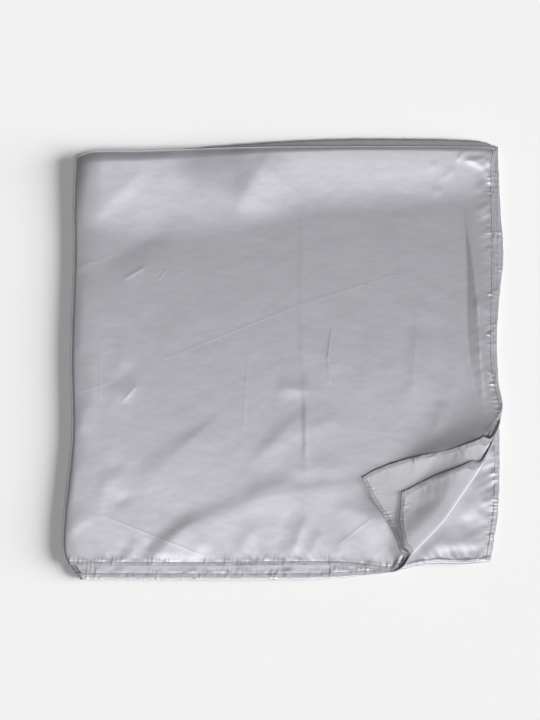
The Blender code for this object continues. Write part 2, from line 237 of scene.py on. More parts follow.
def side_line(rows):
    """The side as a smooth line through its rows, in metres."""
    at, edge = np.array(rows, float).T * MM
    last = len(at) - 1
    ahead = np.minimum(np.arange(last + 1) + 1, last)
    behind = np.maximum(np.arange(last + 1) - 1, 0)
    slope = (edge[ahead] - edge[behind]) / (at[ahead] - at[behind])

    def line(place):
        place = np.clip(place, at[0], at[-1])
        i = np.clip(np.searchsorted(at, place, side="right") - 1, 0, last - 1)
        span = at[i + 1] - at[i]
        t = (place - at[i]) / span
        return (
            edge[i] * (2 * t**3 - 3 * t**2 + 1)
            + slope[i] * span * (t**3 - 2 * t**2 + t)
            + edge[i + 1] * (3 * t**2 - 2 * t**3)
            + slope[i + 1] * span * (t**3 - t**2)
        )

    return line


def moved(line, inset, wave=0.0, phase=0.0):
    """The same side further in or out, with the slight waviness of a soft edge."""
    return lambda place: line(place) + inset + wave * ripple(place, phase)


def ripple(place, phase):
    """Uneven ripples from about -1 to 1, five to thirty millimetres long."""
    return (
        0.45 * np.sin(place * 210 + phase * 5.1)
        + 0.35 * np.sin(place * 517 + phase * 2.3 + 1.3 * np.sin(place * 61 + phase))
        + 0.20 * np.sin(place * 1130 + phase * 7.7 + 2.0 * np.sin(place * 97 - phase))
    )


def flat_points(sides, across, up, across_more=0.0, up_more=0.0):
    """Flat points at these shares of the way across and up between the four sides."""
    left, right, lower, upper = sides
    x = np.zeros(np.broadcast(across, up).shape)
    y = np.zeros_like(x)
    for _ in range(5):
        y = lower(x) + (upper(x) - lower(x)) * up + up_more
        x = left(y) + (right(y) - left(y)) * across + across_more
    return x, y


def stops(*runs):
    """Shares from 0 to 1: each run is (start, step), and the last number ends them, in mm."""
    found = []
    for (start, step), (end, _) in zip(runs, runs[1:]):
        found += list(np.linspace(start, end, max(round((end - start) / step), 1), endpoint=False))
    found.append(runs[-1][0])
    return np.array(found) / runs[-1][0]


def fold_heights(folds, x, y):
    """Height of all these folds together at flat points, in metres."""
    total = np.zeros_like(x)
    for fold in folds:
        crest = np.array(fold.crest, float) * MM
        gap = np.full_like(x, 1.0)
        width = np.full_like(x, MM)
        run = np.zeros_like(x)
        length = 0.0
        for (x0, y0, left0, right0), (x1, y1, left1, right1) in zip(crest, crest[1:]):
            step = math.hypot(x1 - x0, y1 - y0)
            ux = (x1 - x0) / step
            uy = (y1 - y0) / step
            on = np.clip((x - x0) * ux + (y - y0) * uy, 0, step)
            here = np.hypot(x - x0 - on * ux, y - y0 - on * uy)
            side = (y - y0) * ux - (x - x0) * uy
            share = on / step
            wide = np.where(side > 0, left0 + (left1 - left0) * share, right0 + (right1 - right0) * share)
            nearer = here < gap
            gap = np.where(nearer, here, gap)
            width = np.where(nearer, wide, width)
            run = np.where(nearer, length + on, run)
            length += step
        fade = eased(run / (0.35 * length)) * eased((length - run) / (0.35 * length))
        total += fold.height * MM * (0.08 + 0.92 * fade) * np.exp(-((gap / width) ** 1.7))
    return total


def grid_faces(rows, columns):
    """Faces of a grid of points that counts along its rows."""
    first = (np.arange(rows - 1)[:, None] * columns + np.arange(columns - 1)).ravel()
    return np.stack([first, first + 1, first + columns + 1, first + columns], 1)


def make_piece(name, points, faces, cut, material, seams):
    """A smooth mesh piece in place: its flat cut is its UV map, and it knows its seams."""
    mesh = bpy.data.meshes.new(name)
    mesh.from_pydata(points.tolist(), [], [list(face) for face in faces])
    loops = np.empty(len(mesh.loops), np.int32)
    mesh.loops.foreach_get("vertex_index", loops)
    uv = mesh.uv_layers.new(name="cut")
    uv.data.foreach_set("uv", (cut[loops] / CLOTH_SPAN + 0.5).astype(np.float32).ravel())
    for seam, distances in seams.items():
        values = mesh.attributes.new(name=seam, type="FLOAT", domain="POINT")
        values.data.foreach_set("value", distances.astype(np.float32).ravel())
    mesh.shade_smooth()
    mesh.materials.append(material)
    piece = bpy.data.objects.new(name, mesh)
    bpy.context.scene.collection.objects.link(piece)
    return piece


def select_only(piece):
    bpy.ops.object.select_all(action="DESELECT")
    piece.select_set(True)
    bpy.context.view_layer.objects.active = piece


def turn_faces_out(piece):
    """Makes every face of a closed piece point outwards."""
    select_only(piece)
    bpy.ops.object.mode_set(mode="EDIT")
    bpy.ops.mesh.select_all(action="SELECT")
    bpy.ops.mesh.normals_make_consistent(inside=False)
    bpy.ops.object.mode_set(mode="OBJECT")


left_side = side_line(LEFT_SIDE)
inner_right = side_line(INNER_RIGHT_SIDE)
inner_lower = side_line(INNER_LOWER_SIDE)
inner_upper = side_line(INNER_UPPER_SIDE)

# The turned-back corner's fold line: its two ends, its belly, and the way out across it
ROLL_RIGHT_END = np.array((227.0, -68.7)) * MM
ROLL_LOW_END = np.array((130.9, -207.7)) * MM
ROLL_BELLY = 8.4 * MM
BELLY_RAMP = 70.0 * MM
ROLL_START = -10.8 * MM
roll_line = ROLL_LOW_END - ROLL_RIGHT_END
ROLL_LENGTH = math.hypot(*roll_line)
ROLL_ALONG = roll_line / ROLL_LENGTH
ROLL_OUT = np.array((-ROLL_ALONG[1], ROLL_ALONG[0]))


def roll_start(along):
    """How far from the fold line the cloth leaves the stack at this place along it."""
    near = eased((along + ROLL_BELLY) / BELLY_RAMP)
    far = eased((ROLL_LENGTH + ROLL_BELLY - along) / BELLY_RAMP)
    return ROLL_BELLY * near * far + ROLL_START


def past_fold(x, y):
    """How far flat points lie past the start of the roll, and where along it."""
    dx = x - ROLL_RIGHT_END[0]
    dy = y - ROLL_RIGHT_END[1]
    along = dx * ROLL_ALONG[0] + dy * ROLL_ALONG[1]
    return dx * ROLL_OUT[0] + dy * ROLL_OUT[1] - roll_start(along), along


def hem_puckers(place, inward, phase):
    """Puckers by a hem's stitches: fine and deep at the seam, slanting and fading inside it."""
    inside = np.maximum(inward - HEM_WIDTH, 0)
    fine = 0.20 * MM * np.exp(-((inside / (4 * MM)) ** 1.5)) * np.where(inward < HEM_WIDTH, 0.35, 1.0)
    broad = 0.34 * MM * np.exp(-((inside / (11 * MM)) ** 1.5)) * eased(inside / (3 * MM))
    uneven = 0.65 + 0.35 * np.sin(place * 43 + phase * 3)
    brim = np.exp(-(((inside - 1.2 * MM) / (1.4 * MM)) ** 2)) * (inward > HEM_WIDTH)
    slanted = ripple((place + inward * 0.5) * 1.2, phase + 1.7)
    return uneven * (fine * ripple(place * 1.6, phase) + broad * slanted) + 0.03 * MM * brim


def third_lift(x, y):
    """Relief of the third layer, in metres: its wrinkles at the corner, and its hems."""
    past, _ = past_fold(x, y)
    right_in = inner_right(y) - x
    lower_in = y - inner_lower(x)
    hem = eased((HEM_WIDTH + 1.4 * MM - np.minimum(right_in, lower_in)) / (0.8 * MM)) * 0.3 * MM
    lift = fold_heights(THIRD_FOLDS, x, y) + hem
    lift += 1.5 * (hem_puckers(y, right_in, 2.1) + hem_puckers(x, lower_in, 4.4))
    calm = eased((np.minimum(right_in, lower_in) - 0.2 * MM) / (0.7 * MM))
    return lift * calm * eased(past / (14 * MM))


def inner_sides(number, share):
    """The four sides of the stack at one height: a share up one of its layers."""
    right_in, lower_in, upper_in = (value * MM for value in INNER_STAGGER[number])
    angle = math.radians(-82 + 164 * share)
    edge = EDGE_BULGE * (1 - math.cos(angle))
    pair_share = (number % 2 + share) / 2
    loop = LOOP_BULGE * (1 - math.cos(math.radians(-84 + 168 * pair_share)))
    height = (number + 0.5 + 0.5 * math.sin(angle) / math.sin(math.radians(82))) * INNER_HEIGHT / LAYERS
    rise = height - LEFT_FOLD_AXIS
    nested = LEFT_FOLD_RADIUS - math.sqrt(max(NEST_RADIUS**2 - rise**2, 0.0))
    sides = (
        moved(left_side, nested),
        moved(inner_right, -right_in - edge, 0.25 * MM, number + 0.5),
        moved(inner_lower, lower_in + edge, 0.25 * MM, number + 3.1),
        moved(inner_upper, -upper_in - loop, 0.25 * MM, number // 2 + 6.0),
    )
    return sides, height


def make_inner_layers(materials):
    columns = stops((0, 4), (320, 2.1), (440, 0.8), (447, 0))
    rows = stops((0, 0.8), (7, 2.1), (150, 4), (440, 0))
    around = [(k, 0) for k in range(len(columns) - 1)]
    around += [(len(columns) - 1, k) for k in range(len(rows) - 1)]
    around += [(k, len(rows) - 1) for k in range(len(columns) - 1, 0, -1)]
    around += [(0, k) for k in range(len(rows) - 1, 0, -1)]
    around = np.array(around)
    points = []
    cuts = []
    for number in range(LAYERS):
        for step in range(BULGE_STEPS + 1):
            if number == LAYERS - 1 and step == BULGE_STEPS:
                continue
            sides, height = inner_sides(number, step / BULGE_STEPS)
            x, y = flat_points(sides, columns[around[:, 0]], rows[around[:, 1]])
            points.append(np.stack([x, y, np.full_like(x, height)], 1))
            cuts.append(np.stack([x, y], 1))
    count = len(around)
    rings = len(points)
    step = np.arange(count)
    faces = []
    for ring in range(rings - 1):
        low = ring * count + step
        after = ring * count + (step + 1) % count
        faces += np.stack([low, after, after + count, low + count], 1).tolist()
    faces.append(list(range(count))[::-1])
    sides, height = inner_sides(LAYERS - 1, 1.0)
    x, y = flat_points(sides, columns[None, :], rows[:, None])
    z = INNER_HEIGHT + third_lift(x, y)
    start = rings * count
    points.append(np.stack([x.ravel(), y.ravel(), z.ravel()], 1))
    cuts.append(np.stack([x.ravel(), y.ravel()], 1))
    faces += (grid_faces(len(rows), len(columns)) + start).tolist()
    border = start + around[:, 1] * len(columns) + around[:, 0]
    low = (rings - 1) * count + step
    after = (rings - 1) * count + (step + 1) % count
    faces += np.stack([low, after, np.roll(border, -1), border], 1).tolist()
    cut = np.concatenate(cuts)
    seams = {
        "from_right_seam": inner_right(cut[:, 1]) - cut[:, 0] - HEM_WIDTH,
        "from_near_seam": cut[:, 1] - inner_lower(cut[:, 0]) - HEM_WIDTH,
    }
    piece = make_piece("six_inner_layers", np.concatenate(points), faces, cut, materials[0], seams)
    piece.data.materials.append(materials[1])
    # The side walls and the hidden bottom take the darker satin: painted shade on the stack's sides.
    painted_shade_faces = [1] * (rings - 1) * count + [1]
    painted_shade_faces += [0] * (len(faces) - len(painted_shade_faces))
    piece.data.polygons.foreach_set("material_index", painted_shade_faces)
    turn_faces_out(piece)
    return piece


inside_satin = make_satin("inside_satin", INSIDE_COLOUR, [Crease((208, -112), (134, -209), 1.3, 0.05)])
# Satin for the stack's sides, painted darker than the cloth as painted shade.
side_painted_shade_satin = make_satin("side_painted_shade_satin", SIDE_PAINTED_SHADE_COLOUR, (), metallic=0.4, roughness=0.55)
inner_layers = make_inner_layers((inside_satin, side_painted_shade_satin))
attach(inner_layers, "root")
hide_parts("inner_layers")


# Second layer
# The underside of the upper fold: flat on the stack, held in the first fold's loop at the
# far side, and turned back with the top layer over the near right corner. Its near hem and
# a line of its right hem show beyond the top layer's.
SATIN_COLOUR = (0.632, 0.618, 0.672, 1.0)
BACK_COLOUR = (0.570, 0.557, 0.604, 1.0)
CLOTH_THICKNESS = 0.7 * MM
PITCH = 1.6 * MM
TOP_LEVEL = 8.8 * MM
LOOP_RADIUS = 0.8 * MM
ROLL_SQUARE = 0.24  # 1 makes the upper half of the roll an oval, less makes it squarer
FLAP_SLOPE = 36.0 * MM
HEM_LAP = 1.2 * MM

# One layer as it turns: how deep it lies under the top layer, half the width and half the
# height of its low oval roll, and how far its flap comes down behind the roll
Turned = namedtuple("Turned", "depth radius rise drop")
TOP_TURN = Turned(depth=0.0, radius=8.4 * MM, rise=3.4 * MM, drop=4.4 * MM)
SECOND_TURN = Turned(depth=PITCH, radius=10.8 * MM, rise=5.1 * MM, drop=4.5 * MM)

SECOND_RIGHT_SIDE = [
    (-206.1, 221.7), (-165.0, 226.0), (-110.0, 226.0), (-52.0, 227.5), (-11.2, 225.0),
    (20.1, 224.0), (62.0, 226.0), (114.0, 226.8), (166.0, 226.0), (219.7, 224.9),
]
SECOND_LOWER_SIDE = [
    (-208.7, -227.6), (-86.5, -228.1), (38.9, -227.6), (87.0, -225.3), (118.3, -222.3),
    (150.0, -216.0), (190.0, -214.0), (221.7, -206.1),
]
UPPER_SIDE = [
    (-218.1, 210.3), (-197.2, 216.6), (-145.0, 217.6), (-44.7, 221.3), (80.7, 222.3),
    (206.1, 221.8), (223.9, 219.7),
]
SECOND_FOLDS = [
    # Tuck
    Fold(0.9, [(3, -218, 2.6, 2.6), (5, -223, 2.6, 2.6), (5, -230, 2.6, 2.6)]),
    Fold(0.23, [(-171, -216, 3.1, 3.1), (-170, -222, 3.1, 3.1), (-171, -230, 3.1, 3.1)]),
    Fold(0.17, [(-194, -216, 3.1, 3.1), (-195, -222, 3.1, 3.1), (-196, -230, 3.1, 3.1)]),
    Fold(0.23, [(-104, -216, 3.1, 3.1), (-105, -222, 3.1, 3.1), (-103, -230, 3.1, 3.1)]),
    Fold(0.2, [(-94, -216, 3.1, 3.1), (-93, -222, 3.1, 3.1), (-95, -230, 3.1, 3.1)]),
    Fold(0.17, [(-81, -216, 3.1, 3.1), (-80, -222, 3.1, 3.1), (-81, -230, 3.1, 3.1)]),
    Fold(0.15, [(-45, -216, 4.2, 4.2), (-44, -222, 4.2, 4.2), (-45, -230, 4.2, 4.2)]),
]
# Wrinkles of its turned-back part, as they are seen: a height is up from the flap
SECOND_FLAP_FOLDS = [
    Fold(-1.3, [(171, -139, 10.4, 10.4), (148, -151, 10.4, 10.4), (125, -166, 8.4, 8.4)]),
    Fold(1, [
        (118, -141, 6.3, 8.4), (154, -124, 6.3, 8.4), (196, -109, 6.3, 8.4), (237, -93, 6.3, 8.4),
    ]),
    Fold(0.35, [(196, -132, 14.6, 10.4), (164, -137, 12.5, 10.4), (139, -145, 8.4, 8.4)]),
    Fold(0.25, [(200, -107, 8.4, 8.4), (171, -116, 8.4, 8.4), (148, -124, 8.4, 8.4)]),
    Fold(0.2, [(154, -168, 8.4, 8.4), (141, -176, 8.4, 8.4), (131, -183, 5.2, 5.2)]),
    Fold(-0.2, [(169, -124, 6.3, 8.4), (154, -132, 6.3, 8.4), (137, -141, 6.3, 8.4)]),
]


def laid(x, y, depth, layer):
    """Where flat points come to lie, at this depth below the top layer's middle."""
    past, along = past_fold(x, y)
    turn = np.clip(past / layer.radius, 0, math.pi)
    beyond = np.maximum(past - math.pi * layer.radius, 0)
    deeper = depth - layer.depth
    square = np.where(turn < math.pi / 2, 1.0, ROLL_SQUARE)
    outward = np.abs(np.sin(turn)) ** square
    upward = np.sign(np.cos(turn)) * np.abs(np.cos(turn)) ** square
    out = roll_start(along) + (layer.radius + deeper) * outward - beyond
    axis = TOP_LEVEL - layer.depth + layer.rise
    turned_x = ROLL_RIGHT_END[0] + ROLL_ALONG[0] * along + ROLL_OUT[0] * out
    turned_y = ROLL_RIGHT_END[1] + ROLL_ALONG[1] * along + ROLL_OUT[1] * out
    turned_z = axis - (layer.rise + deeper) * upward - layer.drop * eased(beyond / FLAP_SLOPE)
    start = left_side(y) + LEFT_FOLD_RADIUS
    round_fold = np.maximum(start - x, 0) / LEFT_FOLD_RADIUS
    curl = LEFT_FOLD_RADIUS - depth
    on_roll = past > 0
    on_left = x < start
    found_x = np.where(on_roll, turned_x, np.where(on_left, start - curl * np.sin(round_fold), x))
    found_y = np.where(on_roll, turned_y, y)
    left_z = LEFT_FOLD_AXIS + curl * np.cos(round_fold)
    found_z = np.where(on_roll, turned_z, np.where(on_left, left_z, TOP_LEVEL - depth))
    return np.stack([found_x.ravel(), found_y.ravel(), found_z.ravel()], 1)


def seen_on_flap(x, y, layer):
    """Where flat points of the turned-back corner are seen from above, mirrored by the fold."""
    past, along = past_fold(x, y)
    out = roll_start(along) - (past - math.pi * layer.radius)
    seen_x = ROLL_RIGHT_END[0] + ROLL_ALONG[0] * along + ROLL_OUT[0] * out
    seen_y = ROLL_RIGHT_END[1] + ROLL_ALONG[1] * along + ROLL_OUT[1] * out
    return seen_x, seen_y


def flap_lift(folds, x, y, layer):
    """Relief of the turned-back part: up as it is seen, so down on the cloth's own face."""
    past, _ = past_fold(x, y)
    seen_x, seen_y = seen_on_flap(x, y, layer)
    return -fold_heights(folds, seen_x, seen_y) * eased((past - math.pi * layer.radius * 0.4) / (15 * MM))


second_right = side_line(SECOND_RIGHT_SIDE)
second_lower = side_line(SECOND_LOWER_SIDE)
upper_side = side_line(UPPER_SIDE)


def second_lift(x, y):
    """Relief of the second layer: its hems' puckers, its near strip and its flap."""
    past, _ = past_fold(x, y)
    right_in = second_right(y) - x
    lower_in = y - second_lower(x)
    lift = fold_heights(SECOND_FOLDS, x, y) * (past < 0)
    lift += hem_puckers(y, right_in, 5.2) * 0.8 + hem_puckers(x, lower_in, 1.7) * 0.8
    return lift + flap_lift(SECOND_FLAP_FOLDS, x, y, SECOND_TURN)


def make_sheet(name, sides, across, up, layer, lift, materials):
    """A layer of cloth, its face and its back: across and up hold (share, metres more)."""
    x, y = flat_points(sides, across[:, 0][None, :], up[:, 0][:, None], across[:, 1][None, :], up[:, 1][:, None])
    points = placed(x, y, lift(x, y), layer)
    cut = np.stack([x.ravel(), y.ravel()], 1)
    seams = {
        "from_right_seam": sides[1](y) - x - HEM_LAP,
        "from_near_seam": y - sides[2](x) - HEM_LAP,
    }
    piece = make_piece(name, points, grid_faces(len(up), len(across)), cut, materials[0], seams)
    piece.data.materials.append(materials[1])
    select_only(piece)
    wall = piece.modifiers.new("thickness", "SOLIDIFY")
    wall.thickness = CLOTH_THICKNESS
    wall.offset = 0
    wall.material_offset = 1
    bpy.ops.object.modifier_apply(modifier=wall.name)
    return piece


def placed(x, y, lift, layer):
    """Laid points of a layer; the top layer's far edge runs on round the first fold's loop."""
    if layer is not TOP_TURN:
        return laid(x, y, layer.depth - lift, layer)
    start = upper_side(x) - LOOP_RADIUS
    turn = np.maximum(y - start, 0) / LOOP_RADIUS
    loop_y = np.minimum(y, start) + LOOP_RADIUS * np.sin(turn)
    raised = lift * (1 + np.cos(turn)) / 2
    return laid(x, loop_y, LOOP_RADIUS - LOOP_RADIUS * np.cos(turn) - raised, layer)


def with_none(shares):
    return np.stack([shares, np.zeros_like(shares)], 1)


CREASES = [
    # Long faint line over the middle
    Crease((-135, -4), (20, 58), 1.3, 0.026),
    Crease((14, 56), (133, 93), 1.3, 0.022),
    # Near left corner
    Crease((-192, -162), (-78, -207), 1.3, 0.045),
    # Above the near hem
    Crease((56, -195), (95, -165), 1.3, 0.04),
    # Far left
    Crease((-231, 90), (-158, 117), 1.5, 0.022),
    # Left
    Crease((-233, -40), (-174, -22), 1.5, 0.024),
    # Short creases
    Crease((-165, 84), (-143, 97), 2.0, 0.12),
    Crease((-131, 82), (-121, 94), 1.3, 0.05),
    Crease((-168, -45), (-153, -28), 2.2, 0.1),
    # Right of the middle
    Crease((51, 31), (47, -1), 1.6, 0.15),
    Crease((47, 8), (49, -26), 1.6, 0.12),
    # Down the middle
    Crease((20, 171), (19, 8), 1.6, 0.012),
    # Upright faint lines
    Crease((-191, 20), (-191, -53), 1.5, 0.04),
    Crease((-36, 8), (-42, -80), 1.8, 0.05),
    Crease((140, 45), (136, -34), 1.8, 0.06),
]
satin = make_satin("satin", SATIN_COLOUR, CREASES)
satin_back = make_satin("satin_back", BACK_COLOUR, (), metallic=0.25, roughness=0.55)
second_layer = make_sheet(
    "second_layer_cloth",
    (
        moved(left_side, LEFT_FOLD_RADIUS + 2 * MM),
        moved(second_right, HEM_LAP - HEM_WIDTH),
        moved(second_lower, HEM_WIDTH - HEM_LAP),
        moved(upper_side, -1.3 * MM),
    ),
    with_none(stops((0, 3.2), (300, 2.1), (440, 0))),
    with_none(stops((0, 1.0), (8, 2.1), (150, 5), (440, 0))),
    SECOND_TURN,
    second_lift,
    (satin, satin_back),
)
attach(second_layer, "root")
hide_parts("second_layer")


